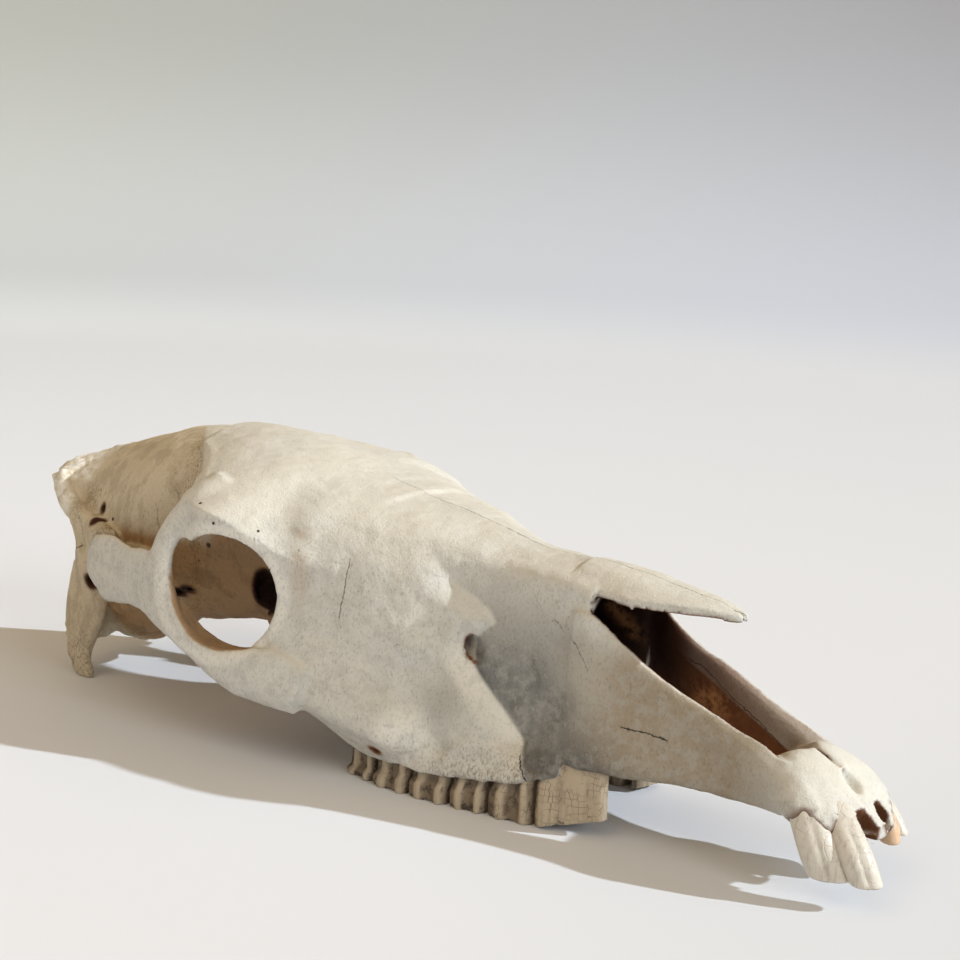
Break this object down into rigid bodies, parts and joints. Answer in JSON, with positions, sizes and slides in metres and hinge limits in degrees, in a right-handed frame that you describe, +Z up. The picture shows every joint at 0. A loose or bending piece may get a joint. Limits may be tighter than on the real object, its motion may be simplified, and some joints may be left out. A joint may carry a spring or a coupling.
{
  "type": "horse skull",
  "caption": "Dry horse skull without its lower jaw, resting on its cheek teeth and one paracondylar tip.",
  "frame": {"origin": "centre of the bounding box's footprint, at floor level", "axes": "+X along the skull towards the front teeth, -Y to the skull's right side, +Z up"},
  "size_m": [0.5893, 0.2079, 0.1666],
  "materials": {
    "cranium": "dry weathered bone, porous and matt",
    "frontal_right": "dry weathered bone, porous and matt",
    "frontal_left": "dry weathered bone, porous and matt",
    "nasal_right": "dry weathered bone, porous and matt",
    "nasal_left": "dry weathered bone, porous and matt",
    "premaxilla_right": "dry weathered bone, porous and matt",
    "premaxilla_left": "dry weathered bone, porous and matt",
    "zygomatic_right": "dry weathered bone, porous and matt",
    "zygomatic_left": "dry weathered bone, porous and matt",
    "palatine_right": "dry weathered bone, porous and matt",
    "palatine_left": "dry weathered bone, porous and matt",
    "maxilla_right": "dry weathered bone, porous and matt",
    "maxilla_left": "dry weathered bone, porous and matt"
  },
  "bodies": {
    "root": {"cranium": "cranium", "frontal_right": "frontal_right", "frontal_left": "frontal_left", "nasal_right": "nasal_right", "nasal_left": "nasal_left", "premaxilla_right": "premaxilla_right", "premaxilla_left": "premaxilla_left", "zygomatic_right": "zygomatic_right", "zygomatic_left": "zygomatic_left", "palatine_right": "palatine_right", "palatine_left": "palatine_left", "maxilla_right": "maxilla_right", "maxilla_left": "maxilla_left"}
  },
  "joints": []
}
